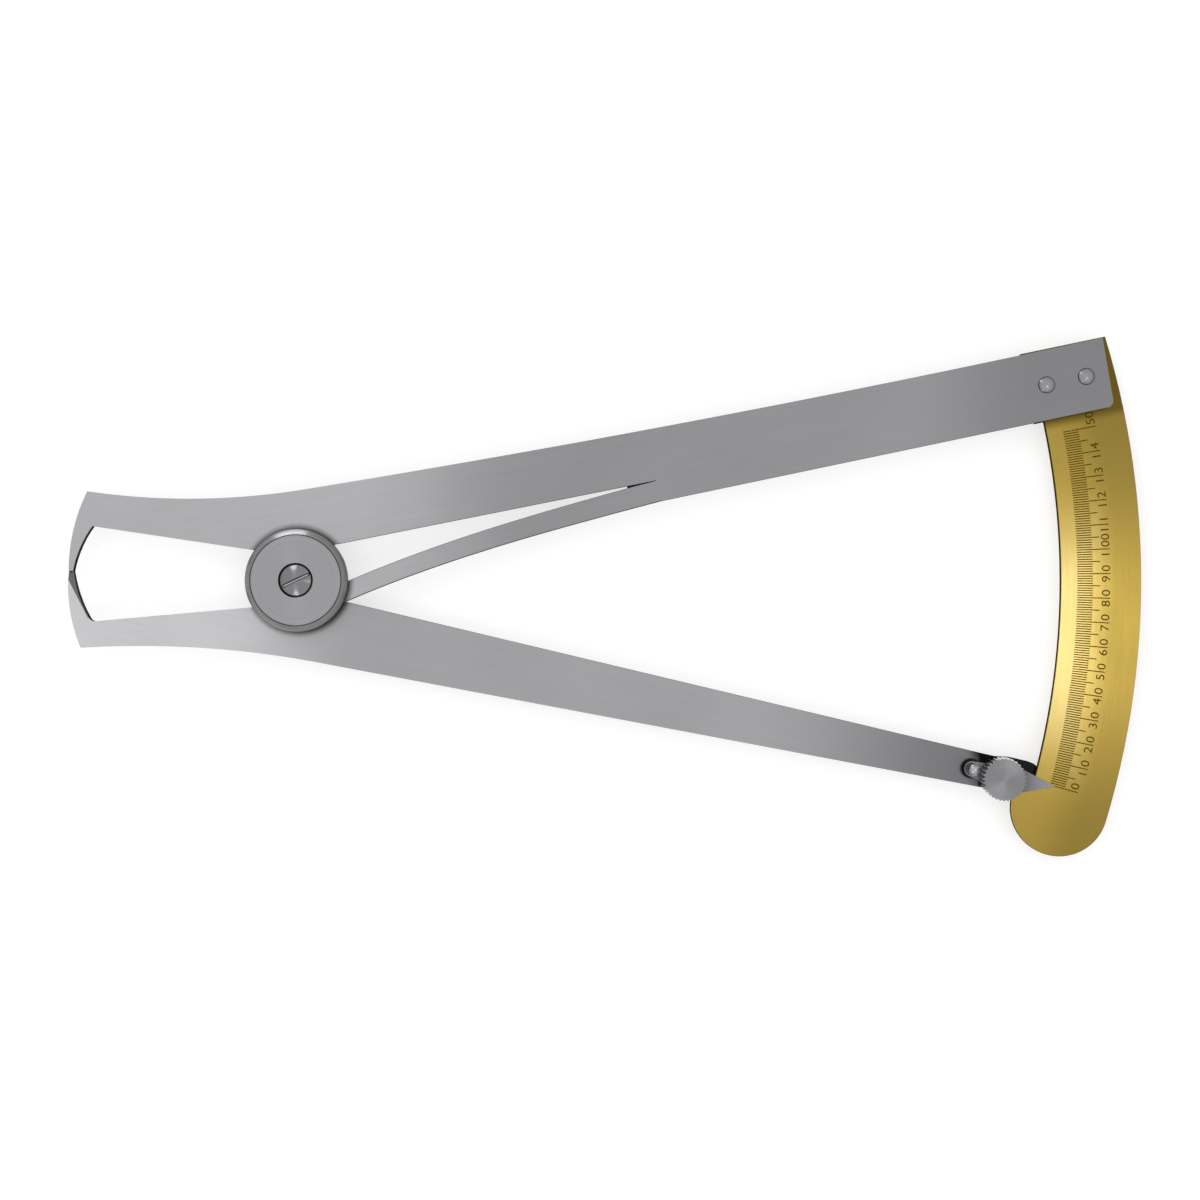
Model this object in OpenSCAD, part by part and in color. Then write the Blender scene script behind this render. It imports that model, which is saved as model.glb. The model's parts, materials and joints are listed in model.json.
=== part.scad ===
// Spring caliper: two flat steel arms on one pivot, a leaf spring cut from the
// scale arm, and a brass sector graduated 0 to 150 in tenths of a millimetre.
// The origin is on the pivot axis, on the underside of the back disc. The jaw
// contact lies on the -X axis and the scale on the +X side. Sizes in millimetres.

/* [Plates] */
// Thickness of the steel sheet of both arms
plate_t = 1.6; // [1.2:0.1:2.2]
// Running gap between plates that slide over each other
plate_gap = 0.06; // [0.03:0.01:0.12]

/* [Jaws] */
// Distance from the pivot axis to the near end of the jaw contact
jaw_reach = 33.4; // [29:0.1:38]
// Width of the contact faces at the jaw tips
jaw_tip_w = 0.65; // [0.5:0.05:1.4]
// Largest jaw opening that the scale reads
max_opening = 15; // [13:0.5:16]
// How far the outer corners stand behind the contact
jaw_corner_back = 1.6; // [0.8:0.1:2.6]
// How far the scale jaw's inner corner stands behind the contact
scale_jaw_back = 2.6; // [2.2:0.1:4]
// How far the pointer jaw's inner corner stands behind the contact
pointer_jaw_back = 3; // [2.2:0.1:4]
// Height of the scale jaw's outer corner above the centreline
scale_jaw_outer = 11.9; // [10.5:0.1:13.5]
// Height of the scale jaw's inner corner above the centreline
scale_jaw_inner = 6.75; // [5.5:0.05:8]
// Depth of the pointer jaw's outer corner below the centreline
pointer_jaw_outer = 11.35; // [10.2:0.05:13]
// Depth of the pointer jaw's inner corner below the centreline
pointer_jaw_inner = 7.4; // [5.8:0.1:8.4]
// Bulge of the jaws' outer edges
jaw_outer_bow = 0.7; // [0.4:0.1:1.2]
// Hollow of the jaws' inner edges
jaw_inner_bow = 0.4; // [0.2:0.05:0.9]
// Radius in the pointer jaw's inner corner
throat_r = 1; // [0.4:0.1:1.6]
// Angle of the bevel ground on the pointer jaw's tip
grind_angle = 28; // [15:1:35]
// Length along each jaw over which it is set to meet the other
jaw_set_len = 18; // [10:1:19]

/* [Scale arm] */
// Angle by which the arm stands above the last graduation
arm_past_scale = 1.1; // [0.8:0.1:3]
// Height of the lower edge above a radial line
scale_arm_low = 0.47; // [0.2:0.01:0.9]
// Height of the upper edge above a radial line, at the free end
scale_arm_high = 10.75; // [9:0.05:12]
// Height of the upper edge above the pivot
scale_arm_rise = 13.4; // [12:0.1:15]
// Sag of the upper edge along the handle
scale_arm_sag = 0.8; // [0.3:0.1:1.2]
// Sag of both arms' outer edges between pivot and jaw
jaw_edge_sag = 1.2; // [0.6:0.1:1.8]
// How far the arm's end stands inside the sector's outer edge
arm_end_back = 1.6; // [0.8:0.05:2.5]
// How far the upper corner of the arm's end stands past the lower one
arm_end_lean = 0.35; // [0:0.05:0.6]
// Radius on the arm's lower end corner
arm_corner_r = 1; // [0.4:0.1:2]

/* [Leaf spring] */
// Distance from the pivot axis to the root of the slit
leaf_root = 55.2; // [48:0.1:64]
// Height of the leaf at its root
leaf_root_h = 3.15; // [2.4:0.05:3.6]
// Height of the leaf at its tip
leaf_tip_h = 2.65; // [2:0.05:3.1]
// Drop of the leaf at the peg, from its straight line
leaf_drop = 5.6; // [5.2:0.05:6]

/* [Pointer arm] */
// Depth of the upper edge below the zero line, at the pivot
pointer_arm_top = 1.3; // [0.8:0.1:2]
// Width of the arm at the pivot
pointer_arm_root_w = 10.2; // [9:0.1:12]
// Width of the arm at the clamp screw
pointer_arm_end_w = 4.8; // [4:0.1:6]
// Depth of the arm's middle below the zero line, at the clamp screw
pointer_arm_low = 0.45; // [0:0.05:0.9]
// How far the tongue reaches under the sector
tongue_lap = 1.2; // [0.8:0.1:4]
// Rise of the tongue's upper edge past the clamp screw
tongue_rise = 0.45; // [0:0.05:0.8]

/* [Sector] */
// Thickness of the brass sheet
sector_t = 0.8; // [0.5:0.05:1.1]
// Outer radius of the sector, about the pivot
sector_r_out = 125.3; // [116:0.1:134]
// Width of the sector between its two edges
sector_w = 12; // [11:0.1:13]
// Angle of the zero mark below the centreline
zero_angle = 12.8; // [11:0.1:14]
// Radius of the rounded lobe past the zero mark
lobe_r = 7.25; // [6.6:0.05:8.2]
// Distance of the lobe's centre past the zero mark
lobe_past = 2.9; // [1.8:0.1:4]
// Distance of the lobe's shoulder past the zero mark
shoulder_past = 1; // [0.5:0.1:1.6]
// How far the foot under the scale arm reaches inside the sector
foot_len = 0.9; // [0.8:0.1:4]
// How far the foot shows below the scale arm's edge
foot_proud = 0.12; // [0.04:0.02:0.4]
// How far the foot shows past the scale arm's upper edge
foot_over = 0.2; // [0.1:0.05:0.6]

/* [Sector rivets] */
// Distance from the arm's end to the outer rivet
rivet_end = 3.2; // [2.2:0.05:4]
// Distance between the two rivets
rivet_pitch = 6; // [4:0.05:7]
// Radius of the rivet heads
rivet_head_r = 1.25; // [0.9:0.05:1.6]
// Height of the rivet heads
rivet_head_h = 0.4; // [0.2:0.05:0.6]
// Radius of the rivet shanks
rivet_r = 0.8; // [0.5:0.05:0.85]

/* [Pivot] */
// Radius of the front pivot disc
disc_r = 7.6; // [7.5:0.05:9]
// How much smaller the radius of the back disc is
back_disc_less = 0.6; // [0.2:0.05:0.8]
// Height of the front disc
front_disc_h = 2; // [1.8:0.1:3]
// Height of the back disc
back_disc_h = 1.4; // [1.2:0.1:2.2]
// Width of the front disc's bevel
disc_bevel_w = 0.9; // [0.4:0.05:1.4]
// Height of the front disc's bevel
disc_bevel_h = 0.8; // [0.4:0.05:1.2]
// Break on the back disc's lower rim
back_break = 0.4; // [0.2:0.05:0.8]
// Radius of the journal that the arms turn on
hub_r = 2.4; // [2.1:0.05:2.7]
// Radius of the arms' eyes around the journal
eye_r = 3.9; // [3.4:0.05:4.2]
// Radial clearance of the pointer arm on the journal
hub_clear = 0.03; // [0.01:0.01:0.08]
// Radius of the pivot screw's thread
screw_r = 1.25; // [0.9:0.05:1.5]
// Radius of the pivot screw's head
screw_head_r = 2.3; // [2:0.05:3]
// Rise of the dome on the screw's head
screw_dome = 0.4; // [0.2:0.05:0.6]
// Width of the screwdriver slot
slot_w = 0.5; // [0.3:0.05:0.8]
// Depth of the screwdriver slot, from the top of the dome
slot_d = 0.7; // [0.4:0.05:0.8]
// Angle of the screwdriver slot
slot_angle = 28; // [0:1:90]

/* [Spring peg] */
// Distance from the pivot, along the handle, at which the peg touches the leaf
peg_reach = 3.6; // [3.3:0.05:3.9]
// Radius of the peg
peg_r = 0.6; // [0.4:0.05:0.8]

/* [Pointer and clamp] */
// Distance of the clamp screw inside the sector's inner edge
clamp_back = 5.15; // [4.2:0.05:6]
// Depth of the clamp screw's axis below the zero line
clamp_low = 0.87; // [0.4:0.01:1]
// Distance from the pointer's pin to the clamp screw
pin_pitch = 4.4; // [4.3:0.05:5.4]
// Radius of the pointer's rounded tail
tail_r = 1.15; // [1.05:0.05:1.5]
// Half of the pointer's width under the clamp
pointer_half_w = 1.8; // [1.4:0.05:1.9]
// How far the pointer's tip reaches over the sector
tip_lap = 3.2; // [2.6:0.1:5]
// Thickness of the pointer
pointer_t = 1.2; // [0.9:0.05:1.5]
// Thickness left at the pointer's tip
tip_t = 0.35; // [0.2:0.05:0.6]
// Free gap on each side of the sector, closed by the clamp
clamp_gap = 0.12; // [0.06:0.02:0.2]
// Radius of the pointer's pin
pin_r = 0.85; // [0.6:0.05:0.95]
// Height of the pin above the pointer
pin_proud = 3; // [1.5:0.1:3.8]
// Radius of the clamp screw's stem
stem_r = 1; // [0.7:0.05:1.2]
// Radius of the clamp screw's knurled head
knob_r = 3.2; // [2.8:0.05:3.8]
// Height of the clamp screw's knurled head
knob_h = 3.4; // [2:0.1:4]
// Number of knurl teeth
knurl_teeth = 32; // [26:1:40]
// Depth of the knurl teeth
knurl_d = 0.3; // [0.2:0.02:0.4]
// Break on the knurled head's rims
knurl_break = 0.1; // [0.04:0.02:0.3]
// Radius of the neck under the knurled head
neck_r = 2.1; // [1.6:0.05:2.5]
// Height by which the knurled head clears the scale arm
knob_clear = 0.25; // [0.15:0.05:0.6]

/* [Hidden] */
$fn = 96;
// Radial clearance of pieces that are fixed in each other
seat = 0.02;
// Length by which cutting shapes run past what they cut
past = 1;
// Break on small turned edges
edge = 0.2;

// Part of the way from the clamp screw to the pointer's tip that keeps its full width
waist_part = 0.37;
// Angle at which the round of an arm's eye leaves the arm
eye_leave = 30;
// Inner radius of the sector, about the pivot
sector_r_in = sector_r_out - sector_w;

// Heights of the stacked pieces
pointer_z = back_disc_h + plate_gap;
pointer_top_z = pointer_z + plate_t;
scale_z = pointer_top_z + plate_gap;
scale_top_z = scale_z + plate_t;
front_z = scale_top_z + plate_gap;
front_top_z = front_z + front_disc_h;
sector_z = scale_z - sector_t;
jaw_z = (pointer_z + scale_z) / 2;
tongue_top_z = sector_z - clamp_gap;
tongue_z = tongue_top_z - plate_t;
index_top_z = pointer_top_z + pointer_t;
toe_z = scale_z + clamp_gap;
knob_z = scale_top_z + knob_clear;
tall = front_top_z + 2 * past;

// Angles about the pivot
travel = 2 * asin(max_opening / (2 * jaw_reach));
scale_arm_angle = travel - zero_angle + arm_past_scale;

// Scale arm stations, in a frame with x along the handle
arm_end = sector_r_out - arm_end_back;
rivet_y = (scale_arm_low + scale_arm_high) / 2;
rivet_x = [arm_end - rivet_end - rivet_pitch, arm_end - rivet_end];

// Pointer arm stations, in a frame with x along the zero line
clamp_x = sector_r_in - clamp_back;
pin_x = clamp_x - pin_pitch;
tip_x = sector_r_in + tip_lap;
tongue_end = sector_r_in + tongue_lap;
function pointer_edge(x, root, end) = root + (end - root) * x / clamp_x;
function upper_edge(x) = pointer_edge(x, -pointer_arm_top, pointer_arm_end_w / 2 - pointer_arm_low);
function lower_edge(x) =
    pointer_edge(x, -pointer_arm_top - pointer_arm_root_w, -pointer_arm_end_w / 2 - pointer_arm_low);
function arm_mid(x) = (upper_edge(x) + lower_edge(x)) / 2;
pin_at = [pin_x, arm_mid(pin_x)];
clamp_at = [clamp_x, -clamp_low];

// A point turned about the pivot
function turn(p, a) = [p.x * cos(a) - p.y * sin(a), p.x * sin(a) + p.y * cos(a)];
function on_scale_arm(p) = turn(p, scale_arm_angle);
function on_pointer_arm(p) = turn(p, -zero_angle);

// Points of the circular arc from p to q whose middle stands h to the left
function bow(p, q, h, n = 24) =
    let (d = norm(q - p), u = (q - p) / d, v = [-u.y, u.x])
    let (r = (d * d / 4 + h * h) / (2 * h), half = asin(d / (2 * abs(r))))
    [for (i = [0:n]) let (a = half * (2 * i / n - 1))
        (p + q) / 2 + u * abs(r) * sin(a) + v * (h - r + r * cos(a))];

// Points of a circular arc about c
function arc(c, r, from, to, n = 12) =
    [for (i = [0:n]) let (a = from + (to - from) * i / n) c + r * [cos(a), sin(a)]];

// Corner c rounded between the directions of its neighbours p and q
function round_corner(p, c, q, r, n = 8) =
    let (u = (p - c) / norm(p - c), v = (q - c) / norm(q - c))
    let (half = acos(u * v) / 2, m = (u + v) / norm(u + v), o = c + m * r / sin(half))
    let (from = c + u * r / tan(half) - o, to = c + v * r / tan(half) - o)
    [for (i = [0:n]) let (w = from * (1 - i / n) + to * (i / n)) o + w * r / norm(w)];

// The pointer arm's end is folded down between the pin and the clamp screw
fold_x = on_pointer_arm(pin_at).x + tail_r + plate_gap;
fold_end = on_pointer_arm(clamp_at).x - stem_r - edge;

// Leaf spring, in the scale arm's frame: s runs from the root to the peg
leaf_len = leaf_root - peg_reach;
leaf_lean_part = 0.48;
leaf_bend_part = 1 - leaf_lean_part;
function leaf_share(s) = s / leaf_len;
function leaf_fall(s) =
    leaf_drop * (leaf_lean_part * leaf_share(s) + leaf_bend_part * pow(leaf_share(s), 3));
function leaf_slope(s) =
    atan(leaf_drop / leaf_len * (leaf_lean_part + 3 * leaf_bend_part * pow(leaf_share(s), 2)));
function leaf_low(s) = [leaf_root - s, scale_arm_low - leaf_fall(s)];
function leaf_high(s) =
    leaf_low(s) + (leaf_root_h + (leaf_tip_h - leaf_root_h) * leaf_share(s))
        * [-sin(leaf_slope(s)), cos(leaf_slope(s))];
leaf_over = peg_r;
leaf_steps = [for (i = [0:24]) (leaf_len + leaf_over) * i / 24];

// The peg touches the leaf's lower edge from below
leaf_touch = on_scale_arm(leaf_low(leaf_len));
leaf_lean = scale_arm_angle + leaf_slope(leaf_len);
peg_at = leaf_touch + (peg_r + plate_gap) * [sin(leaf_lean), -cos(leaf_lean)];

// Bent sheet, given by the side view of its underside
module sheet(low) {
    up = [for (i = [len(low) - 1:-1:0]) low[i] + [0, plate_t]];
    translate([0, sector_r_out, 0])
        rotate([90, 0, 0])
            linear_extrude(height = 2 * sector_r_out)
                polygon(concat(low, up));
}

// Underside of a jaw that is set from height z at the pivot to the height of the jaw contact
function jaw_side(z) = [[-jaw_reach - 3 * jaw_tip_w, jaw_z], [-disc_r - jaw_set_len, jaw_z], [-disc_r, z]];

// Scale arm: jaw, eye and handle stamped from one sheet; the leaf's slit leaves its lower edge
module scale_arm() {
    tip_out = [-jaw_reach - jaw_tip_w, 0];
    tip_in = [-jaw_reach, 0];
    outer = [-jaw_reach + jaw_corner_back, scale_jaw_outer];
    inner = [-jaw_reach + scale_jaw_back, scale_jaw_inner];
    crown = [0, scale_arm_rise];
    end_top = on_scale_arm([arm_end + arm_end_lean, scale_arm_high]);
    corner = arc([arm_end - arm_corner_r, scale_arm_low + arm_corner_r], arm_corner_r, 0, -90);
    slit = [leaf_high(0), leaf_low(0)];
    neck = [eye_r + plate_t, scale_arm_low + slit[0].y];
    outline = concat(
        bow(tip_out, outer, jaw_outer_bow),
        bow(outer, crown, -jaw_edge_sag),
        bow(crown, end_top, -scale_arm_sag),
        [for (p = corner) on_scale_arm(p)],
        [for (p = [slit[1], slit[0], neck]) on_scale_arm(p)],
        arc([0, 0], eye_r, eye_leave, -180 - eye_leave, 32),
        [[-eye_r, eye_r]],
        bow(inner, tip_in, -jaw_inner_bow));
    color("silver")
    difference() {
        intersection() {
            linear_extrude(height = tall) polygon(outline);
            sheet(concat(jaw_side(scale_z), [[sector_r_out, scale_z]]));
        }
        cylinder(r = hub_r + seat, h = tall);
        rivet_places() cylinder(r = rivet_r + seat, h = tall);
    }
}

// Leaf spring: the tongue left by the slit, bent down so that its tip bears on the peg
module spring_leaf() {
    low = [for (s = leaf_steps) on_scale_arm(leaf_low(s))];
    high = [for (s = leaf_steps) on_scale_arm(leaf_high(s))];
    color("silver")
    translate([0, 0, scale_z])
        linear_extrude(height = plate_t)
            difference() {
                polygon(concat(low, [for (i = [len(high) - 1:-1:0]) high[i]]));
                circle(r = eye_r + leaf_drop / 4);
            }
}

// Children at each rivet's axis
module rivet_places() {
    for (x = rivet_x)
        translate(on_scale_arm([x, rivet_y])) children();
}

// Half plane between two radial lines, out to beyond the sector
module wedge(from, to) {
    far = 2 * sector_r_out;
    polygon([[0, 0], far * [cos(from), sin(from)], far * [cos(to), sin(to)]]);
}

// Brass sector: ring about the pivot, foot under the scale arm and lobe past the zero mark
module scale_sector() {
    lobe_at = sector_r_out - lobe_r;
    lobe_angle = -zero_angle - lobe_past / lobe_at * 180 / PI;
    shoulder = -zero_angle - shoulder_past / sector_r_in * 180 / PI;
    foot_high = scale_arm_high + foot_over;
    top = scale_arm_angle + asin(foot_high / sector_r_out);
    foot_x = sqrt(pow(sector_r_in, 2) - pow(scale_arm_high, 2)) - foot_len;
    foot_y = scale_arm_low - foot_proud;
    color("goldenrod")
    translate([0, 0, sector_z])
        difference() {
            linear_extrude(height = sector_t) union() {
                intersection() {
                    difference() {
                        circle(r = sector_r_out, $fn = 360);
                        circle(r = sector_r_in, $fn = 360);
                    }
                    wedge(lobe_angle, top);
                }
                intersection() {
                    circle(r = sector_r_out, $fn = 360);
                    rotate(scale_arm_angle)
                        translate([foot_x, foot_y])
                            square([sector_r_out - foot_x, foot_high - foot_y]);
                }
                difference() {
                    rotate(lobe_angle) translate([lobe_at, 0]) circle(r = lobe_r);
                    intersection() {
                        circle(r = sector_r_in, $fn = 360);
                        wedge(shoulder, top);
                    }
                }
            }
            translate([0, 0, -past]) rivet_places() cylinder(r = rivet_r + seat, h = tall);
        }
}

// Points of a dome of radius r and rise h, from its rim at height z to its crown
function dome(r, h, z, n = 12) =
    let (ball = (r * r + h * h) / (2 * h))
    [for (i = [0:n]) let (x = r * (1 - i / n)) [x, z + h - ball + sqrt(ball * ball - x * x)]];

// Rivet through the scale arm and the sector, with a low domed head on each side
module sector_rivet(x) {
    rim = rivet_head_h / 4;
    top = dome(rivet_head_r, rivet_head_h - rim, scale_top_z + rim);
    under = [for (p = dome(rivet_head_r, rivet_head_h - rim, rim)) [p.x, sector_z - p.y]];
    color("lightgray")
    translate(on_scale_arm([x, rivet_y]))
        rotate_extrude()
            polygon(concat([[rivet_head_r, scale_top_z]], top,
                [for (i = [len(under) - 1:-1:0]) under[i]],
                [[rivet_head_r, sector_z], [rivet_r, sector_z], [rivet_r, scale_top_z]]));
}

// Back disc: turned in one with the journal, with a blind threaded hole for the pivot screw
module back_disc() {
    floor_z = back_disc_h / 2;
    rim_r = disc_r - back_disc_less;
    color("darkgray")
    rotate_extrude()
        polygon([[0, 0], [rim_r - back_break, 0], [rim_r, back_break], [rim_r, back_disc_h],
            [hub_r, back_disc_h], [hub_r, front_z], [screw_r + seat, front_z],
            [screw_r + seat, floor_z], [0, floor_z]]);
}

// Front disc: bevelled rim and countersunk hole, clamped on the journal's end
screw_seat_z = front_top_z - edge;
screw_cone_h = screw_head_r - screw_r;
module front_disc() {
    hole_r = screw_r + 5 * seat;
    rim_r = screw_head_r + edge + 2 * seat;
    color("darkgray")
    rotate_extrude()
        polygon([[hole_r, front_z], [disc_r, front_z], [disc_r, front_top_z - disc_bevel_h],
            [disc_r - disc_bevel_w, front_top_z], [rim_r, front_top_z],
            [hole_r, front_top_z - rim_r + hole_r]]);
}

// Pivot screw: raised countersunk head with one slot
module pivot_screw() {
    tip_z = back_disc_h / 2 + edge;
    color("gray")
    difference() {
        rotate_extrude()
            polygon(concat([[0, tip_z], [screw_r - edge, tip_z], [screw_r, tip_z + edge],
                [screw_r, screw_seat_z - screw_cone_h]], dome(screw_head_r, screw_dome, screw_seat_z)));
        translate([0, 0, screw_seat_z + screw_dome - slot_d])
            rotate(slot_angle)
                translate([-disc_r, -slot_w / 2, 0])
                    cube([2 * disc_r, slot_w, tall]);
    }
}

// Pointer arm: jaw, eye and tapered handle stamped from one sheet, its end folded down
module pointer_arm() {
    tip_out = [-jaw_reach - jaw_tip_w, 0];
    tip_in = [-jaw_reach, 0];
    outer = [-jaw_reach + jaw_corner_back, -pointer_jaw_outer];
    inner = [-jaw_reach + pointer_jaw_back, -pointer_jaw_inner];
    neck = [-eye_r, -eye_r];
    jaw_edge = bow(tip_in, inner, -jaw_inner_bow);
    round_x = tongue_end - pointer_arm_end_w / 2;
    nose_r = (upper_edge(round_x) - lower_edge(round_x) + tongue_rise) / 2;
    nose = arc([round_x, lower_edge(round_x) + nose_r], nose_r, 90, -90);
    step = [[clamp_x - stem_r, upper_edge(clamp_x)], [clamp_x + stem_r, upper_edge(clamp_x) + tongue_rise]];
    heel = on_pointer_arm([disc_r, lower_edge(disc_r)]);
    outline = concat(
        bow(outer, tip_out, jaw_outer_bow),
        [for (i = [0:len(jaw_edge) - 2]) if (norm(jaw_edge[i] - inner) > 2 * throat_r) jaw_edge[i]],
        round_corner(jaw_edge[len(jaw_edge) - 4], inner, neck, throat_r),
        [neck],
        arc([0, 0], eye_r, 180 + eye_leave, -eye_leave, 32),
        [on_pointer_arm([eye_r + plate_t, upper_edge(0)])],
        [for (p = concat(step, nose)) on_pointer_arm(p)],
        bow(heel, outer, -jaw_edge_sag));
    color("silver")
    difference() {
        intersection() {
            linear_extrude(height = tall) polygon(outline);
            sheet(concat(jaw_side(pointer_z), [[fold_x, pointer_z], [fold_end, tongue_z],
                [sector_r_out, tongue_z]]));
        }
        cylinder(r = hub_r + hub_clear, h = tall);
        translate(peg_at) cylinder(r = peg_r + seat, h = tall);
        translate(on_pointer_arm(pin_at)) cylinder(r = pin_r + seat, h = tall);
        translate(on_pointer_arm(clamp_at)) cylinder(r = stem_r + seat, h = tall);
        jaw_grind(outer, inner);
    }
}

// Bevel ground on the pointer jaw's upper inner edge, deepest at the tip
module jaw_grind(outer, inner) {
    from = inner + [-throat_r / 2, throat_r / 2];
    to = [-jaw_reach - jaw_tip_w, -2 * jaw_tip_w];
    run = to - from;
    translate([from.x, from.y, jaw_z + plate_t])
        rotate(atan2(run.y, run.x))
            rotate([grind_angle, 0, 0])
                translate([0, -jaw_reach / 4, 0])
                    cube([2 * norm(run), jaw_reach / 4, tall]);
}

// Peg on the pointer arm that the leaf spring pushes against
module spring_peg() {
    peg_h = scale_top_z - edge - pointer_z;
    color("lightgray")
    translate([peg_at.x, peg_at.y, pointer_z])
        rotate_extrude()
            polygon([[0, 0], [peg_r, 0], [peg_r, peg_h - edge], [peg_r - edge, peg_h], [0, peg_h]]);
}

// Pointer: bar on the pointer arm with a rounded tail, relieved under its toe, drawn to a tip
module pointer() {
    tip = [tip_x, 0];
    along = tip - clamp_at;
    side = [-along.y, along.x] / norm(along);
    waist = clamp_at + along * waist_part;
    tail = arc(pin_at, tail_r, 90, 270);
    outline = concat(tail, [clamp_at - side * pointer_half_w, waist - side * pointer_half_w,
        tip, waist + side * pointer_half_w, clamp_at + side * pointer_half_w]);
    heel_x = pin_x + tail_r;
    view = [[pin_x - 2 * tail_r, pointer_top_z], [heel_x, pointer_top_z], [heel_x + edge, toe_z],
        [tip_x + past, toe_z], [tip_x, toe_z + tip_t], [waist.x, index_top_z],
        [pin_x - 2 * tail_r, index_top_z]];
    color("gray")
    difference() {
        rotate(-zero_angle)
            intersection() {
                linear_extrude(height = tall) polygon(outline);
                translate([0, knob_r, 0])
                    rotate([90, 0, 0])
                        linear_extrude(height = 3 * knob_r) polygon(view);
            }
        translate(on_pointer_arm(pin_at)) cylinder(r = pin_r + seat, h = tall);
        translate(on_pointer_arm(clamp_at)) cylinder(r = stem_r + 5 * seat, h = tall);
    }
}

// Pin that holds the pointer's tail in line on the arm
module pointer_pin() {
    at = on_pointer_arm(pin_at);
    rise = 2 * edge;
    color("lightgray")
    translate(at)
        rotate_extrude()
            polygon(concat([[0, pointer_z], [pin_r, pointer_z]],
                dome(pin_r, rise, index_top_z + pin_proud - rise)));
}

// Clamp screw: knurled head, neck and stem, threaded into the tongue under the sector
module clamp_screw() {
    high = knob_z + knob_h;
    foot = tongue_z - edge;
    knurl = [for (i = [0:2 * knurl_teeth - 1])
        let (r = knob_r - (i % 2) * knurl_d, a = 180 * i / knurl_teeth) r * [cos(a), sin(a)]];
    color("darkgray")
    translate(on_pointer_arm(clamp_at)) {
        intersection() {
            translate([0, 0, knob_z]) linear_extrude(height = knob_h) polygon(knurl);
            rotate_extrude()
                polygon([[0, knob_z], [knob_r - knurl_break, knob_z], [knob_r, knob_z + knurl_break],
                    [knob_r, high - knurl_break], [knob_r - knurl_break, high], [0, high]]);
        }
        rotate_extrude()
            polygon([[0, foot], [stem_r - edge, foot], [stem_r, foot + edge],
                [stem_r, index_top_z], [neck_r, index_top_z], [neck_r, knob_z + edge],
                [0, knob_z + edge]]);
    }
}

scale_arm();
spring_leaf();
scale_sector();
sector_rivet(rivet_x[0]);  // sector_rivet_inner
sector_rivet(rivet_x[1]);  // sector_rivet_outer
back_disc();
front_disc();
pivot_screw();
pointer_arm();
spring_peg();
pointer();
pointer_pin();
clamp_screw();
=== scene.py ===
import json
import math

import bmesh
import bpy
from mathutils import Matrix, Vector
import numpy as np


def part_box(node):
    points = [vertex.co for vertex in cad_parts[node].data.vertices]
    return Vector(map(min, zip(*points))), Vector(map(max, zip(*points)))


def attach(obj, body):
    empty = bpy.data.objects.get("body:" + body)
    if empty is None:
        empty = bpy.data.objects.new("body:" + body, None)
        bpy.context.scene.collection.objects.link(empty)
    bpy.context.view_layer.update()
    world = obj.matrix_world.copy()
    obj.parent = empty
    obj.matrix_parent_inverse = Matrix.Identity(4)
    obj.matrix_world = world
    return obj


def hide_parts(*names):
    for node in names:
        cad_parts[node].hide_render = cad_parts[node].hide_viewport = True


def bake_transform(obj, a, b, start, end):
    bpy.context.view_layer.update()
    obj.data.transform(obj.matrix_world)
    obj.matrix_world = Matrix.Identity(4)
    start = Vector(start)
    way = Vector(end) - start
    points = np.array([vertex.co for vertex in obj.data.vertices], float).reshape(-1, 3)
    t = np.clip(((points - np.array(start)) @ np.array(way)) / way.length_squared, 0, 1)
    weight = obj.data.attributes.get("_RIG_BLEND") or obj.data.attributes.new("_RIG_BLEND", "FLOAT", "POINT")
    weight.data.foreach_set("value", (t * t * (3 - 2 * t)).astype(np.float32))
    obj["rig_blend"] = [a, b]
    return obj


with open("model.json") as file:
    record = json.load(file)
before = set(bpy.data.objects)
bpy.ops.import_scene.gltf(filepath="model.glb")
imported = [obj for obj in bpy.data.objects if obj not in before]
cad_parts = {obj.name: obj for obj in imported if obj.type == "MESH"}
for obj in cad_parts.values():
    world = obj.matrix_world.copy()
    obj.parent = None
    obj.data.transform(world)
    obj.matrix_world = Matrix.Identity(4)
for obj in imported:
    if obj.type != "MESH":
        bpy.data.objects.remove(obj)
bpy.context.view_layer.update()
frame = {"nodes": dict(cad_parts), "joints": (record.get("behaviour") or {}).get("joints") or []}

# Back disc: the lower disc of the pivot, turned in one with the journal that both arms sit on.
# Bar steel faced in a lathe, so its face carries fine rings, and its rim is broken by hand.
MM = 0.001


def linear(code):
    """Linear colour of an sRGB hex value."""
    values = [int(code[i:i + 2], 16) / 255 for i in (1, 3, 5)]
    return [v / 12.92 if v <= 0.04045 else ((v + 0.055) / 1.055) ** 2.4 for v in values] + [1]


def scaled(colour, factor):
    """A linear colour made darker or brighter."""
    return [c * factor for c in colour[:3]] + [1]


def feed(tree, node, sockets):
    """Sets a node's inputs by name or number, or links them to other nodes' outputs."""
    for name, value in sockets.items():
        if isinstance(value, bpy.types.NodeSocket):
            tree.links.new(value, node.inputs[name])
        else:
            node.inputs[name].default_value = value


def add(tree, kind, sockets, **settings):
    """Adds one node with its settings, and its values or links by socket name."""
    node = tree.nodes.new("ShaderNode" + kind)
    for name, value in settings.items():
        setattr(node, name, value)
    feed(tree, node, sockets)
    return node


def calc(tree, operation, *values):
    """The result of a sum on one or two values."""
    return add(tree, "Math", dict(enumerate(values)), operation=operation).outputs["Value"]


def ramp(tree, value, low, high, to=(0.0, 1.0), kind="LINEAR"):
    """Takes a value from the range low to high over to another range, and stops at its ends."""
    return add(tree, "MapRange", {"Value": value, "From Min": low, "From Max": high,
                                  "To Min": to[0], "To Max": to[1]},
               interpolation_type=kind).outputs["Result"]


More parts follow.
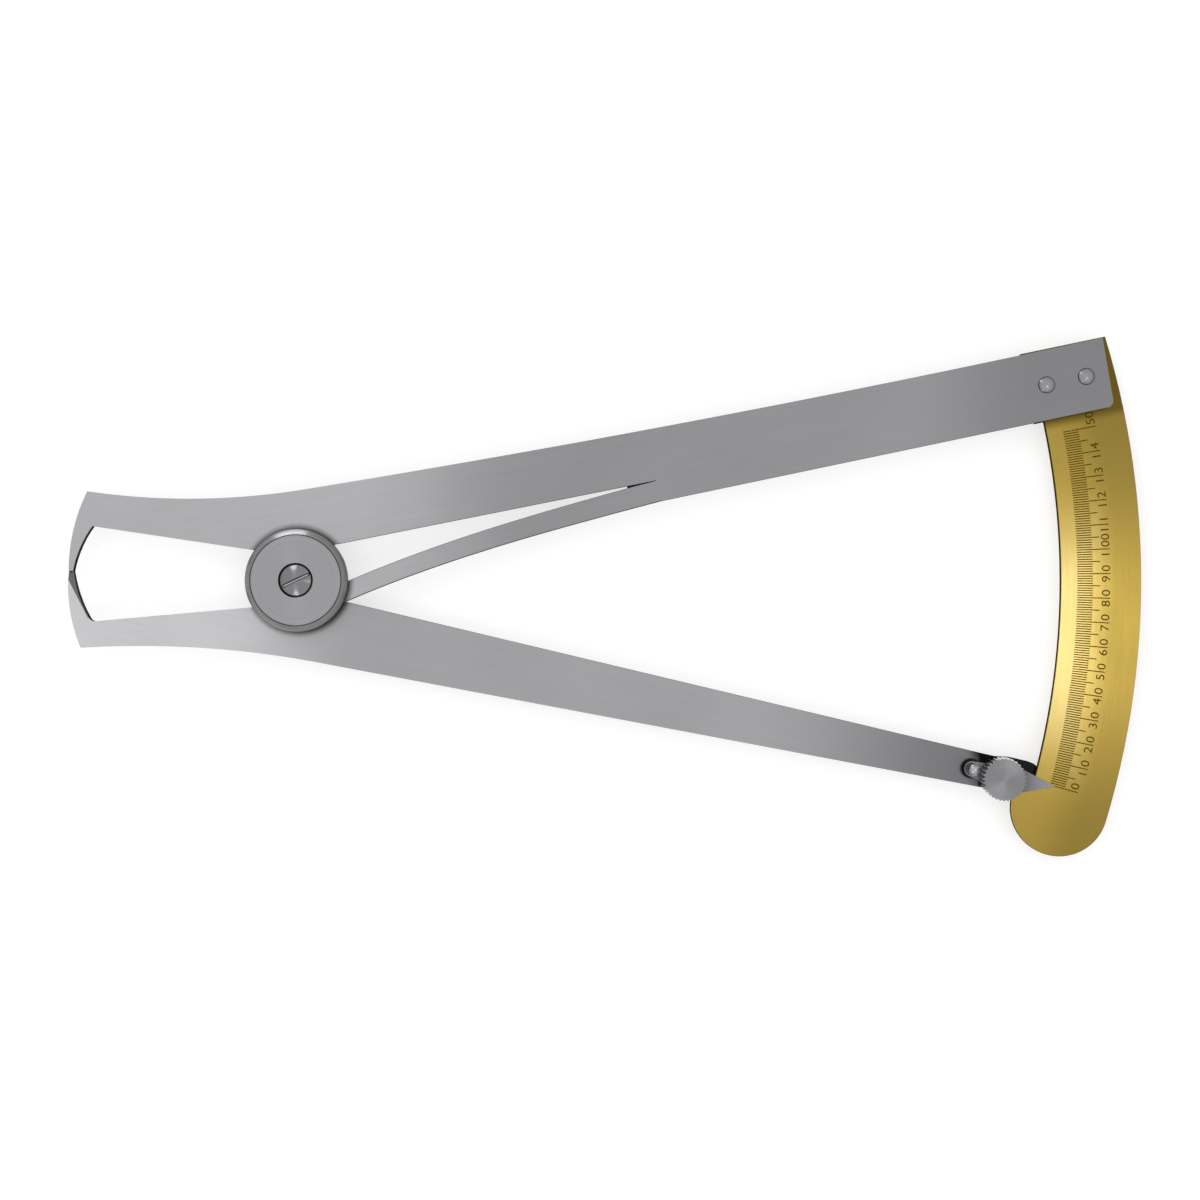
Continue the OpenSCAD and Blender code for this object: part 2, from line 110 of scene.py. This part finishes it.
def mix(tree, share, first, second):
    """The first colour where the share is 0, and the second where it is 1."""
    return add(tree, "Mix", {"Factor": share, 6: first, 7: second}, data_type="RGBA").outputs[2]


def noise(tree, place, size, detail, roughness=0.5):
    """Cloudy noise with patches of the given size."""
    return add(tree, "TexNoise", {"Vector": place, "Scale": 1 / size, "Detail": detail,
                                  "Roughness": roughness}).outputs["Fac"]


def level_way(tree, place, centre):
    """The level way from an upright line through the centre to the place, and its length."""
    about = add(tree, "VectorMath", {0: place, 1: (centre[0], centre[1], 0)}, operation="SUBTRACT")
    flat = add(tree, "VectorMath", {0: about.outputs["Vector"], 1: (1, 1, 0)},
               operation="MULTIPLY").outputs["Vector"]
    return flat, add(tree, "VectorMath", {0: flat}, operation="LENGTH").outputs["Value"]


def on_walls(tree, colour, wall, steep=(0.5, 0.95)):
    """The given colour on level faces, and the wall's colour where the surface stands up.
    Steep gives the upright part of the normal at which the one and the other start."""
    normal = add(tree, "NewGeometry", {}).outputs["Normal"]
    rise = add(tree, "SeparateXYZ", {"Vector": normal}).outputs["Z"]
    level = calc(tree, "ABSOLUTE", rise)
    return mix(tree, ramp(tree, level, *steep, kind="SMOOTHSTEP"), wall, colour)


def new_material(name):
    """A new material, its node tree and its shader."""
    material = bpy.data.materials.new(name)
    material.use_nodes = True
    return material, material.node_tree, material.node_tree.nodes["Principled BSDF"]


def new_piece(name, bm):
    """A new object at the origin with the given mesh, which is used up."""
    mesh = bpy.data.meshes.new(name)
    bm.to_mesh(mesh)
    bm.free()
    piece = bpy.data.objects.new(name, mesh)
    bpy.context.scene.collection.objects.link(piece)
    return piece


def edge_broken(node, width, joint=None, ground=False):
    """A merged copy of a solid with its sharp edges broken, in the solid's place.
    Edges that lie in the joint, a point and a direction, stay closed. Level faces are
    shaded flat, and on a ground piece the slanting faces too."""
    bm = bmesh.new()
    bm.from_mesh(frame["nodes"][node].data)
    bmesh.ops.remove_doubles(bm, verts=bm.verts, dist=1e-7)
    bmesh.ops.dissolve_limit(bm, angle_limit=math.radians(0.02), verts=bm.verts, edges=bm.edges)
    sharp = [e for e in bm.edges if e.is_manifold and e.calc_face_angle() > math.radians(30)]
    if joint:
        point, way = joint
        sharp = [e for e in sharp if max(abs((v.co - point) @ way) for v in e.verts) > width]
    bmesh.ops.bevel(bm, geom=sharp, offset=width, offset_type="OFFSET", segments=2, profile=0.5,
                    affect="EDGES", material=-1, clamp_overlap=True)
    bm.normal_update()
    for face in bm.faces:
        level = abs(face.normal.z)
        face.smooth = level < 0.9999 and not (ground and 0.8 < level < 0.98)
    piece = new_piece(node + "_finished", bm)
    piece.modifiers.new("flat_faces", "WEIGHTED_NORMAL").keep_sharp = True
    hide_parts(node)
    return piece


def turned_steel(name, tone, centre, gloss=0.26, spun=0.6, wall="#2C2C2E", steep=(0.3, 0.9),
                 knurl=None, shade_rings=()):
    """Stainless bar turned in a lathe: rings about the centre that break up the gloss and
    spread it outwards. The rings are drawn wider than the real ones, so that they show.
    Its standing walls are painted dark as shade, in the wall's colour.
    A knurl, the radii of its roots and crests, gets painted shade in its roots and a painted
    highlight on its crests. Shade rings are the radii, half widths and colours of thin rings
    of painted shade."""
    ring_w = 0.45 * MM
    cloud_w = 3 * MM
    groove_depth = 0.01 * MM
    material, tree, shader = new_material(name)
    place = add(tree, "TexCoord", {}).outputs["Object"]
    flat, radius = level_way(tree, place, centre)
    rings = add(tree, "TexNoise", {"W": radius, "Scale": 1 / ring_w, "Detail": 1.0},
                noise_dimensions="1D").outputs["Fac"]
    cloud = noise(tree, place, cloud_w, 3.0)
    dull, bright = [scaled(linear(tone), f) for f in (0.94, 1.05)]
    colour = mix(tree, rings, dull, bright)
    # Painted shade: the standing walls take the dark wall colour, or the knurl's colours.
    side = linear(wall)
    # Painted shade in the knurl's roots and a painted highlight on its crests.
    if knurl:
        side = mix(tree, ramp(tree, radius, *knurl), linear("#505052"), linear("#F8F8FA"))
    colour = on_walls(tree, colour, side, steep)
    # Painted shade: thin dark rings at the given radii.
    for seam_r, half_w, painted_shade in shade_rings:
        off = calc(tree, "SUBTRACT", radius, seam_r)
        off = calc(tree, "ABSOLUTE", off)
        clear = ramp(tree, off, half_w / 2, half_w, kind="SMOOTHSTEP")
        colour = mix(tree, clear, linear(painted_shade), colour)
    rough = ramp(tree, cloud, 0.3, 0.7, to=(gloss - 0.05, gloss + 0.06))
    bump = add(tree, "Bump", {"Strength": 0.012, "Distance": groove_depth, "Height": rings})
    outward = add(tree, "VectorMath", {0: flat}, operation="NORMALIZE").outputs["Vector"]
    feed(tree, shader, {"Base Color": colour, "Roughness": rough, "Normal": bump.outputs["Normal"],
                        "Tangent": outward, "Anisotropic": spun, "Metallic": 1})
    return material


back_disc = edge_broken("back_disc", 0.08 * MM)
back_disc.data.materials.append(turned_steel("turned_steel_back", "#9C9C9E", (0, 0)))
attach(back_disc, "scale_arm")

# Pointer arm: jaw, eye and tapered handle stamped from stainless sheet, beaded to a satin.
# Its end is folded down to pass under the scale, and a painted shadow makes the fold almost black,
# most of all along its upper edge. A ring of painted shade lies round the pointer's tail.
joints = {j["name"]: j for j in frame["joints"]}
clamp = Vector(joints["clamp_turn"]["pos_m"])
pin_low, pin_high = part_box("pointer_pin")
pin_centre = (pin_low + pin_high) / 2
disc_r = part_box("front_disc")[1].x
pointer_lie = math.radians(-10)
# Painted shadow, near-black, over the folded end before the clamp, and painted shade round the tail.
shadow_way = Vector((1, 0.6, 0))
fold_shadow = (shadow_way, clamp.dot(shadow_way) - 3.4 * MM, clamp.dot(shadow_way) - 0.6 * MM)
tail_shade = (pin_centre, 1.35 * MM, 1.7 * MM)


def satin_steel(name, painted_tones, spans, lie, painted_shadow=None, painted_shade=()):
    """Stainless sheet, beaded and wiped along its length to an even, slightly streaked satin.
    The tones are painted light: those at the jaw, the middle and the far end, and the spans are
    where the outer two come in, in millimetres. The real streaks are finer than a pixel, so they
    are drawn as wide as they need to show. The painted shadow is a direction and the places along
    it where the near-black starts and is full. Painted shade rings the pivot's disc and the spots
    in the last argument, given by their centre and the radii at which it starts to thin and ends.
    Broken edges and walls are painted darker as shade, with a duller sheen."""
    streak_l, streak_w = 14 * MM, 0.3 * MM
    bead_w = 0.35 * MM
    cloud_w = 16 * MM
    bead_depth = 0.01 * MM
    edge_steep = (0.9, 0.985)
    # Painted shade round the pivot's disc.
    disc_shade = ((0, 0), disc_r - 0.3 * MM, disc_r + 1.1 * MM)
    material, tree, shader = new_material(name)
    place = add(tree, "TexCoord", {}).outputs["Object"]
    along = add(tree, "Mapping", {"Vector": place, "Rotation": (0, 0, lie),
                                  "Scale": (streak_l, streak_w, streak_w)},
                vector_type="TEXTURE").outputs["Vector"]
    streak = noise(tree, along, 1, 4.0, roughness=0.6)
    bead = noise(tree, place, bead_w, 2.0)
    cloud = noise(tree, place, cloud_w, 2.0)
    worn = calc(tree, "ADD", streak, cloud)
    x = add(tree, "SeparateXYZ", {"Vector": place}).outputs["X"]
    # Painted light: the tone grows lighter towards the jaw and darker towards the far end.
    colour = linear(painted_tones[1])
    for span, tone in zip(spans, (painted_tones[0], painted_tones[2])):
        part = ramp(tree, x, span[0] * MM, span[1] * MM, kind="SMOOTHSTEP")
        colour = mix(tree, part, colour, linear(tone))
    wear_and_shade = ramp(tree, worn, 0.75, 1.25, to=(0.96, 1.04))
    # Painted shade: the colour darkens round the disc and each given spot, over the random wear.
    for spot, thin_r, clear_r in (disc_shade, *painted_shade):
        radius = level_way(tree, place, spot)[1]
        unshaded = ramp(tree, radius, thin_r, clear_r, to=(0.12, 1.0), kind="SMOOTHSTEP")
        wear_and_shade = calc(tree, "MULTIPLY", wear_and_shade, unshaded)
    colour = add(tree, "VectorMath", {0: colour, "Scale": wear_and_shade}, operation="SCALE").outputs["Vector"]
    # Painted shade: broken edges a darker grey, standing walls darker still, both with a duller sheen.
    side = on_walls(tree, linear("#7A7A7C"), linear("#545456"), steep=(0.6, 0.86))
    colour = on_walls(tree, colour, side, edge_steep)
    shaded_sheen = on_walls(tree, (1, 1, 1, 1), linear("#606060"), edge_steep)
    # Painted shadow: near-black along the given direction.
    if painted_shadow:
        way, start, full = painted_shadow
        reach = add(tree, "VectorMath", {0: place, 1: way}, operation="DOT_PRODUCT").outputs["Value"]
        shadowed = ramp(tree, reach, start, full, kind="SMOOTHERSTEP")
        colour = mix(tree, shadowed, colour, linear("#202022"))
    rough = ramp(tree, worn, 0.7, 1.3, to=(0.34, 0.4))
    height = calc(tree, "ADD", streak, bead)
    bump = add(tree, "Bump", {"Strength": 0.05, "Distance": bead_depth, "Height": height})
    feed(tree, shader, {"Base Color": colour, "Specular Tint": shaded_sheen, "Roughness": rough,
                        "Normal": bump.outputs["Normal"], "Metallic": 1})
    return material


pointer_arm = edge_broken("pointer_arm", 0.09 * MM, ground=True)
# Painted light: lightest at the jaw, darkest at the far end.
arm_steel = satin_steel("satin_steel_pointer_arm", ("#D5D5D7", "#AAAAAC", "#7A7A7C"),
                        ((10, -14), (66, 102)), pointer_lie, fold_shadow, [tail_shade])
pointer_arm.data.materials.append(arm_steel)
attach(pointer_arm, "pointer_arm")

# Spring peg: a short polished pin riveted into the pointer arm beside the pivot.
# The leaf's tip bears on it, under the front disc.
peg_low, peg_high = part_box("spring_peg")
peg_centre = (peg_low + peg_high) / 2
spring_peg = edge_broken("spring_peg", 0.05 * MM)
peg_steel = turned_steel("polished_steel_peg", "#C2C2C4", peg_centre, gloss=0.18)
spring_peg.data.materials.append(peg_steel)
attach(spring_peg, "pointer_arm")

# Scale arm: the second jaw and the broad handle that carries the scale, stamped from the same
# stainless sheet as the pointer arm, with its edges broken in the tumbler.
scale_lie = math.radians(14.2)
leaf_lie = math.radians(17.2)
leaf_points = [v.co.copy() for v in frame["nodes"]["spring_leaf"].data.vertices]
leaf_root = max(leaf_points, key=lambda c: c.x)
slit_end = (leaf_root, Vector((math.cos(leaf_lie), math.sin(leaf_lie), 0)))
scale_arm = edge_broken("scale_arm", 0.09 * MM, slit_end)
# Painted light: lighter towards the jaw, darker towards the handle's end.
scale_steel = satin_steel("satin_steel_scale_arm", ("#BABABC", "#9B9B9D", "#88888A"),
                          ((36, 8), (88, 108)), scale_lie)
scale_arm.data.materials.append(scale_steel)
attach(scale_arm, "scale_arm")

# Leaf spring: the tongue that the slit leaves along the scale arm, bent down to the peg.
# It is one with the scale arm at its root and follows the peg at its tip, and between them
# it bends as a bar that is held at one end and pushed at the other.
leaf = edge_broken("spring_leaf", 0.09 * MM, slit_end)
leaf.data.materials.append(scale_steel)
leaf_tip = Vector((peg_centre.x, peg_centre.y, leaf_root.z))
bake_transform(leaf, "scale_arm", "pointer_arm", start=leaf_root, end=leaf_tip)
leaf_axis = leaf_tip - leaf_root
for vertex, share in zip(leaf.data.vertices, leaf.data.attributes["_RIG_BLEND"].data):
    part = min(max((vertex.co - leaf_root).dot(leaf_axis) / leaf_axis.length_squared, 0), 1)
    sag = (3 * part ** 2 - part ** 3) / 2
    share.value = min(sag * leaf_tip.xy.length / vertex.co.xy.length, 1)

# Slit shade: a near-black wedge of painted shade in the narrow end of the slit.
# It fills the wedge between the arm and the root of the leaf, a little below their faces.
shade_len = 4.4 * MM
shade_sides = [math.radians(d) for d in (13.7, 17.8)]
slit_low, slit_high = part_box("spring_leaf")
shade_z = slit_low.z + 0.1 * MM
shade_h = slit_high.z - slit_low.z - 0.22 * MM
slit_corner = max(leaf_points, key=lambda c: c.y)
shade_ends = [slit_corner - shade_len * Vector((math.cos(a), math.sin(a), 0)) for a in shade_sides]
bm = bmesh.new()
loop = [bm.verts.new((p.x, p.y, shade_z)) for p in (slit_corner, *shade_ends)]
wedge = bmesh.ops.extrude_face_region(bm, geom=[bm.faces.new(loop)])
wedge_top = [g for g in wedge["geom"] if isinstance(g, bmesh.types.BMVert)]
bmesh.ops.translate(bm, verts=wedge_top, vec=(0, 0, shade_h))
bmesh.ops.recalc_face_normals(bm, faces=bm.faces)
painted_shade = new_piece("slit_shade", bm)
shade_fill, tree, shader = new_material("painted_shade_fill")
place = add(tree, "TexCoord", {}).outputs["Object"]
mottle = noise(tree, place, 0.5 * MM, 2.0)
feed(tree, shader, {"Base Color": mix(tree, mottle, linear("#0C0C0C"), linear("#1E1D1B")),
                    "Roughness": 0.7, "Specular IOR Level": 0.1})
painted_shade.data.materials.append(shade_fill)
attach(painted_shade, "scale_arm")

# Scale sector: sheet brass cut to a ring about the pivot, brushed along its curve, with a
# foot riveted under the scale arm and a round lobe past the zero mark.
sector_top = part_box("scale_sector")[1].z
sector = edge_broken("scale_sector", 0.07 * MM)
sector_points = [v.co for v in frame["nodes"]["scale_sector"].data.vertices]
ring_in = min(c.xy.length for c in sector_points if abs(c.y) < 15 * MM)


def brushed_brass(name, tone, highlight_tone):
    """Lacquered sheet brass brushed round the curve: warm, with fine streaks along the arc.
    A painted highlight makes it pale inside the marks about the middle of the arc, falling off
    to painted shade towards its ends; it is darker outside the marks, and a painted shadow darkens
    it along the arm. Its cut edges are painted dark and dull as shade, with a thin dark band along
    the ring's inner edge. The streaks are drawn wider than the real ones, so that they show."""
    streak_w = 0.35 * MM
    streaks_per_radian = 12.0
    cloud_w = 9 * MM
    brush_depth = 0.01 * MM
    highlight_r, dim_r = 113 * MM, 122 * MM
    highlight_turn = math.radians(-2)
    highlight_half, falloff_half = math.radians(3), math.radians(12)
    lobe_turn = math.radians(-13)
    arm_side = (-math.sin(scale_lie), math.cos(scale_lie), 0)
    dark_edge = linear("#32290C")
    material, tree, shader = new_material(name)
    place = add(tree, "TexCoord", {}).outputs["Object"]
    parts = add(tree, "SeparateXYZ", {"Vector": place}).outputs
    radius = add(tree, "VectorMath", {0: place}, operation="LENGTH").outputs["Value"]
    turn = calc(tree, "ARCTAN2", parts["Y"], parts["X"])
    across = calc(tree, "MULTIPLY", radius, 1 / streak_w)
    round_arc = calc(tree, "MULTIPLY", turn, streaks_per_radian)
    lines = add(tree, "CombineXYZ", {"X": across, "Y": round_arc}).outputs["Vector"]
    streak = noise(tree, lines, 1, 4.0, roughness=0.65)
    cloud = noise(tree, place, cloud_w, 3.0)
    worn = calc(tree, "ADD", streak, cloud)
    dull, bright, dimmed = [scaled(linear(tone), f) for f in (0.95, 1.04, 0.57)]
    colour = mix(tree, ramp(tree, worn, 0.7, 1.3), dull, bright)
    # Painted highlight: pale inside the marks about the middle of the arc, dimmer outward and towards the
    # ends.
    outward = ramp(tree, radius, highlight_r, dim_r, kind="SMOOTHSTEP")
    colour = mix(tree, outward, colour, dimmed)
    off = calc(tree, "SUBTRACT", turn, highlight_turn)
    off = calc(tree, "ABSOLUTE", off)
    off_highlight = ramp(tree, off, highlight_half, falloff_half, kind="SMOOTHSTEP")
    unlit = calc(tree, "MAXIMUM", outward, off_highlight)
    colour = mix(tree, calc(tree, "SUBTRACT", 1.0, unlit), colour, linear(highlight_tone))
    end_shade = ramp(tree, outward, 0, 1, to=(0.68, 0.86))
    shade = ramp(tree, off_highlight, 0, 1, to=(1.0, end_shade))
    colour = add(tree, "VectorMath", {0: colour, "Scale": shade}, operation="SCALE").outputs["Vector"]
    # Painted shadow on the brass along the scale arm's edge.
    past_arm = add(tree, "VectorMath", {0: place, 1: arm_side}, operation="DOT_PRODUCT").outputs["Value"]
    arm_shadow = ramp(tree, past_arm, -1.2 * MM, 0.5 * MM, kind="SMOOTHSTEP")
    colour = mix(tree, arm_shadow, colour, linear("#6A5820"))
    # A thin dark band along the ring's inner edge.
    inner = ramp(tree, radius, ring_in + 0.1 * MM, ring_in + 0.24 * MM, to=(1.0, 0.0))
    on_ring = calc(tree, "GREATER_THAN", turn, lobe_turn)
    colour = mix(tree, calc(tree, "MULTIPLY", inner, on_ring), colour, dark_edge)
    # Painted shade: the cut edges' walls are dark and dull, neither metal nor glossy.
    colour = on_walls(tree, colour, dark_edge)
    bare = on_walls(tree, (1, 1, 1, 1), (0, 0, 0, 1))
    gleam = on_walls(tree, (0.5, 0.5, 0.5, 1), (0, 0, 0, 1))
    rough = ramp(tree, worn, 0.7, 1.3, to=(0.2, 0.24))
    bump = add(tree, "Bump", {"Strength": 0.02, "Distance": brush_depth, "Height": streak})
    shader.inputs["Metallic"].default_value = 1
    feed(tree, shader, {"Base Color": colour, "Metallic": bare, "Specular IOR Level": gleam,
                        "Roughness": rough, "Normal": bump.outputs["Normal"]})
    return material


sector.data.materials.append(brushed_brass("brushed_brass", "#C8AB52", "#C8B474"))
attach(sector, "scale_arm")

# Graduations: lines and figures engraved in the brass and filled with dark lacquer. The marks
# stand at every tenth of a millimetre of jaw opening, with longer ones at fives and tens.
# The last one lies just past the place where the jaws come to their stop.
past_stop = 0.2
zero = math.radians(-12.8)
span = math.radians(joints["jaw_pivot"]["range_deg"][1] + past_stop)
marks = 150
mark_in = 115.8 * MM
mark_out = {1: 118.1 * MM, 5: 119.2 * MM, 10: 120.7 * MM}
zero_in = 0.6 * MM
mark_w = 0.15 * MM
fill_h = 0.004 * MM
fill_z = sector_top + fill_h
figure_r = 120.68 * MM
figure_size = 1.8 * MM
figure_stretch = 1.14
figure_gap = 0.28 * MM
figure_turn = Matrix.Rotation(math.pi / 2, 4, "Z") @ Matrix.Diagonal((figure_stretch, 1, 1, 1))


def figures(text, side):
    """Mesh of a few figures beside a mark: they end before it at side -1, or start after it."""
    curve = bpy.data.curves.new("figures", "FONT")
    curve.body = text
    curve.size = figure_size
    curve.extrude = fill_h
    curve.resolution_u = 4
    curve.align_x = "RIGHT" if side < 0 else "LEFT"
    holder = bpy.data.objects.new("figures", curve)
    bpy.context.scene.collection.objects.link(holder)
    drawn = holder.evaluated_get(bpy.context.evaluated_depsgraph_get())
    mesh = bpy.data.meshes.new_from_object(drawn)
    bpy.data.objects.remove(holder)
    return mesh


engraving = bmesh.new()
for i in range(marks + 1):
    step = 10 if i % 10 == 0 else 5 if i % 5 == 0 else 1
    drawn_in = 0 if i else zero_in
    length = mark_out[step] - drawn_in - mark_in
    spot = Matrix.Rotation(zero + span * i / marks, 4, "Z")
    middle = Matrix.Translation((mark_in + length / 2, 0, fill_z))
    line = Matrix.Diagonal((length, mark_w, 2 * fill_h, 1))
    bmesh.ops.create_cube(engraving, matrix=spot @ middle @ line)
    if step == 10:
        label = str(i) if i <= 100 else str(i // 10) if i < marks else "50"
        split = 1 if 0 < i < marks else 0
        for text, side in ((label[:split], -1), (label[split:], 1)):
            mesh = figures(text, side)
            beside = Matrix.Translation((figure_r - drawn_in, side * figure_gap, fill_z))
            mesh.transform(spot @ beside @ figure_turn)
            engraving.from_mesh(mesh)
            bpy.data.meshes.remove(mesh)
graduations = new_piece("graduations", engraving)
lacquer, tree, shader = new_material("dark_lacquer_fill")
place = add(tree, "TexCoord", {}).outputs["Object"]
thin = noise(tree, place, 0.6 * MM, 2.0)
feed(tree, shader, {"Base Color": mix(tree, thin, linear("#463604"), linear("#6E550A")),
                    "Roughness": 0.8, "Specular IOR Level": 0})
graduations.data.materials.append(lacquer)
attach(graduations, "scale_arm")

# Sector rivets: two soft steel rivets through the scale arm and the sector's foot, with
# low domed heads left bright by the rivet set.
for node in ("sector_rivet_inner", "sector_rivet_outer"):
    low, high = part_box(node)
    rivet = edge_broken(node, 0.045 * MM)
    # Painted shade: the dark wall colour reaches up the domes' rims.
    rivet_steel = turned_steel("peened_steel_" + node, "#9C9C9E", (low + high) / 2, gloss=0.2,
                               steep=(0.84, 0.96))
    rivet.data.materials.append(rivet_steel)
    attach(rivet, "scale_arm")

# Front disc: the upper disc of the pivot, turned from bar with a bevelled rim, clamped on the
# journal's end by the screw. Thin rings of painted shade mark the start of its bevel and the gap round the
# screw.
front_disc = edge_broken("front_disc", 0.07 * MM)
disc_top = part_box("front_disc")[1].z
disc_points = [v.co for v in frame["nodes"]["front_disc"].data.vertices]
face_r = [c.xy.length for c in disc_points if c.z > disc_top - 1e-6]
bevel_shade = (max(face_r), 0.11 * MM, "#484848")
screw_shade = (min(face_r) - 0.12 * MM, 0.2 * MM, "#1A1A1C")
disc_steel = turned_steel("turned_steel_front", "#A6A6A8", (0, 0), shade_rings=(bevel_shade, screw_shade))
front_disc.data.materials.append(disc_steel)
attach(front_disc, "scale_arm")

# Pivot screw: slotted screw with a raised countersunk head, polished in the lathe. Its slot
# floor carries a painted reflection along its middle and painted shade in its corners.
slot_lie = math.radians(28)
slot_side = (-math.sin(slot_lie), math.cos(slot_lie), 0)
slot_z = disc_top - 0.35 * MM
screw = edge_broken("pivot_screw", 0.03 * MM)
screw_steel = turned_steel("polished_steel_screw", "#8A8A8C", (0, 0), gloss=0.2, spun=0.9,
                           wall="#1C1C1E")
tree = screw_steel.node_tree
shader = tree.nodes["Principled BSDF"]
place = add(tree, "TexCoord", {}).outputs["Object"]
height = add(tree, "SeparateXYZ", {"Vector": place}).outputs["Z"]
off_line = add(tree, "VectorMath", {0: place, 1: slot_side}, operation="DOT_PRODUCT").outputs["Value"]
# Painted reflection along the middle of the slot floor, painted shade in its corners.
slot_shade = ramp(tree, calc(tree, "ABSOLUTE", off_line), 0.06 * MM, 0.16 * MM)
painted_slot = mix(tree, slot_shade, linear("#B0B0B2"), linear("#161618"))
above = calc(tree, "GREATER_THAN", height, slot_z)
face = shader.inputs["Base Color"].links[0].from_socket
feed(tree, shader, {"Base Color": mix(tree, above, painted_slot, face)})
screw.data.materials.append(screw_steel)
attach(screw, "scale_arm")

# Pointer: a milled steel bar on the pointer arm's end, drawn to a tip that reads the scale.
# The pin and the clamp screw hold it, and painted shade makes it darkest under the screw's head.
pointer = edge_broken("pointer", 0.05 * MM)
pointer_steel = satin_steel("milled_steel_pointer", ("#8A8A8E", "#56565A", "#9A9A9E"),
                            ((104, 102.5), (106.5, 112.5)), pointer_lie)
pointer.data.materials.append(pointer_steel)
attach(pointer, "pointer_arm")

# Pointer pin: a polished steel pin with a domed end, pressed through the pointer's tail into
# the arm, that keeps the pointer in line.
pin = edge_broken("pointer_pin", 0.06 * MM)
pin.data.materials.append(turned_steel("polished_steel_pin", "#B8B8BA", pin_centre, gloss=0.12))
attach(pin, "pointer_arm")

# Clamp screw: turned from bar with a straight-knurled head; it clamps the sector between the
# pointer and the arm's tongue.
knurl_depth = 0.3 * MM
knob = edge_broken("clamp_screw", 0.025 * MM)
crest = max((v.co - clamp).xy.length for v in knob.data.vertices)
# The knurl has painted shade in its roots and a painted highlight on its crests.
knob_steel = turned_steel("turned_steel_knob", "#8C8C8E", clamp, gloss=0.3, spun=0.9,
                          knurl=(crest - knurl_depth, crest))
knob.data.materials.append(knob_steel)
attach(knob, "clamp_screw")

# Table: a wide white sheet that the caliper lies on. It looks white to the camera and in
# the metal, and keeps a soft shadow.
table_half = 2
table_drop = 0.05 * MM
table_glow = 0.6
bm = bmesh.new()
bmesh.ops.create_grid(bm, x_segments=1, y_segments=1, size=table_half)
bmesh.ops.translate(bm, verts=bm.verts, vec=(0, 0, -table_drop))
table = new_piece("table", bm)
paper, tree, shader = new_material("white_paper")
tree.nodes.remove(shader)
path = add(tree, "LightPath", {}).outputs
seen = calc(tree, "MAXIMUM", path["Is Camera Ray"], path["Is Glossy Ray"])
seen = calc(tree, "MAXIMUM", seen, path["Is Transmission Ray"])
lift = calc(tree, "MULTIPLY", seen, table_glow)
sheet = add(tree, "BsdfDiffuse", {"Color": linear("#CCCCCC")})
glow = add(tree, "Emission", {"Color": (1, 1, 1, 1), "Strength": lift})
both = add(tree, "AddShader", {0: sheet.outputs["BSDF"], 1: glow.outputs["Emission"]})
feed(tree, tree.nodes["Material Output"], {"Surface": both.outputs["Shader"]})
table.data.materials.append(paper)

# Light: a room that is palest overhead, a small bank that catches the brass, a window that
# glints on the domed pieces and a door across from it that does the same, and a low bank
# beyond the scale arm that lights the bevels.
room_level = (0.4, 0.85)
world = bpy.data.worlds.new("studio")
bpy.context.scene.world = world
world.use_nodes = True
tree = world.node_tree
path = add(tree, "LightPath", {}).outputs
toward = add(tree, "NewGeometry", {}).outputs["Position"]
rise = add(tree, "SeparateXYZ", {"Vector": toward}).outputs["Z"]
level = ramp(tree, rise, 0.0, 0.9, to=room_level)
room = mix(tree, path["Is Camera Ray"], level, (1, 1, 1, 1))
feed(tree, tree.nodes["Background"], {"Color": room})


def bank(name, place, aim, size, radiance):
    """A rectangular light of the given brightness, turned to a point."""
    lamp = bpy.data.lights.new(name, "AREA")
    lamp.shape = "RECTANGLE"
    lamp.size, lamp.size_y = size
    lamp.energy = radiance * math.pi * size[0] * size[1]
    holder = bpy.data.objects.new(name, lamp)
    bpy.context.scene.collection.objects.link(holder)
    holder.location = place
    holder.rotation_euler = (Vector(aim) - Vector(place)).to_track_quat("-Z", "Y").to_euler()


bank("brass_bank", (0.2, -0.005, 0.4), (0.118, 0, 0), (0.06, 0.05), 3)
bank("window_bank", (-0.1, 0.24, 0.33), (0, 0, 0), (0.1, 0.1), 3)
bank("far_bank", (-0.1, 0.35, 0.06), (0, 0, 0), (0.24, 0.1), 3)
bank("door_bank", (-0.03, -0.23, 0.33), (0, 0, 0), (0.08, 0.08), 3)

# Camera: straight above the caliper, turned so that the jaws point a little upwards. The width
# of the view is the one at the top of the scale arm.
view_w = 177.6 * MM
view_d = 340 * MM
view_x, view_y = 44.9 * MM, -1.0 * MM
view_turn = math.radians(2.43)
arm_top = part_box("scale_arm")[1].z
scene = bpy.context.scene
lens = bpy.data.cameras.new("camera")
lens.sensor_fit = "HORIZONTAL"
lens.angle = 2 * math.atan(view_w / 2 / view_d)
lens.clip_start = 0.01
camera = bpy.data.objects.new("camera", lens)
scene.collection.objects.link(camera)
camera.location = (view_x, view_y, arm_top + view_d)
camera.rotation_euler = (0, 0, view_turn)
scene.camera = camera
scene.view_settings.view_transform = "Standard"
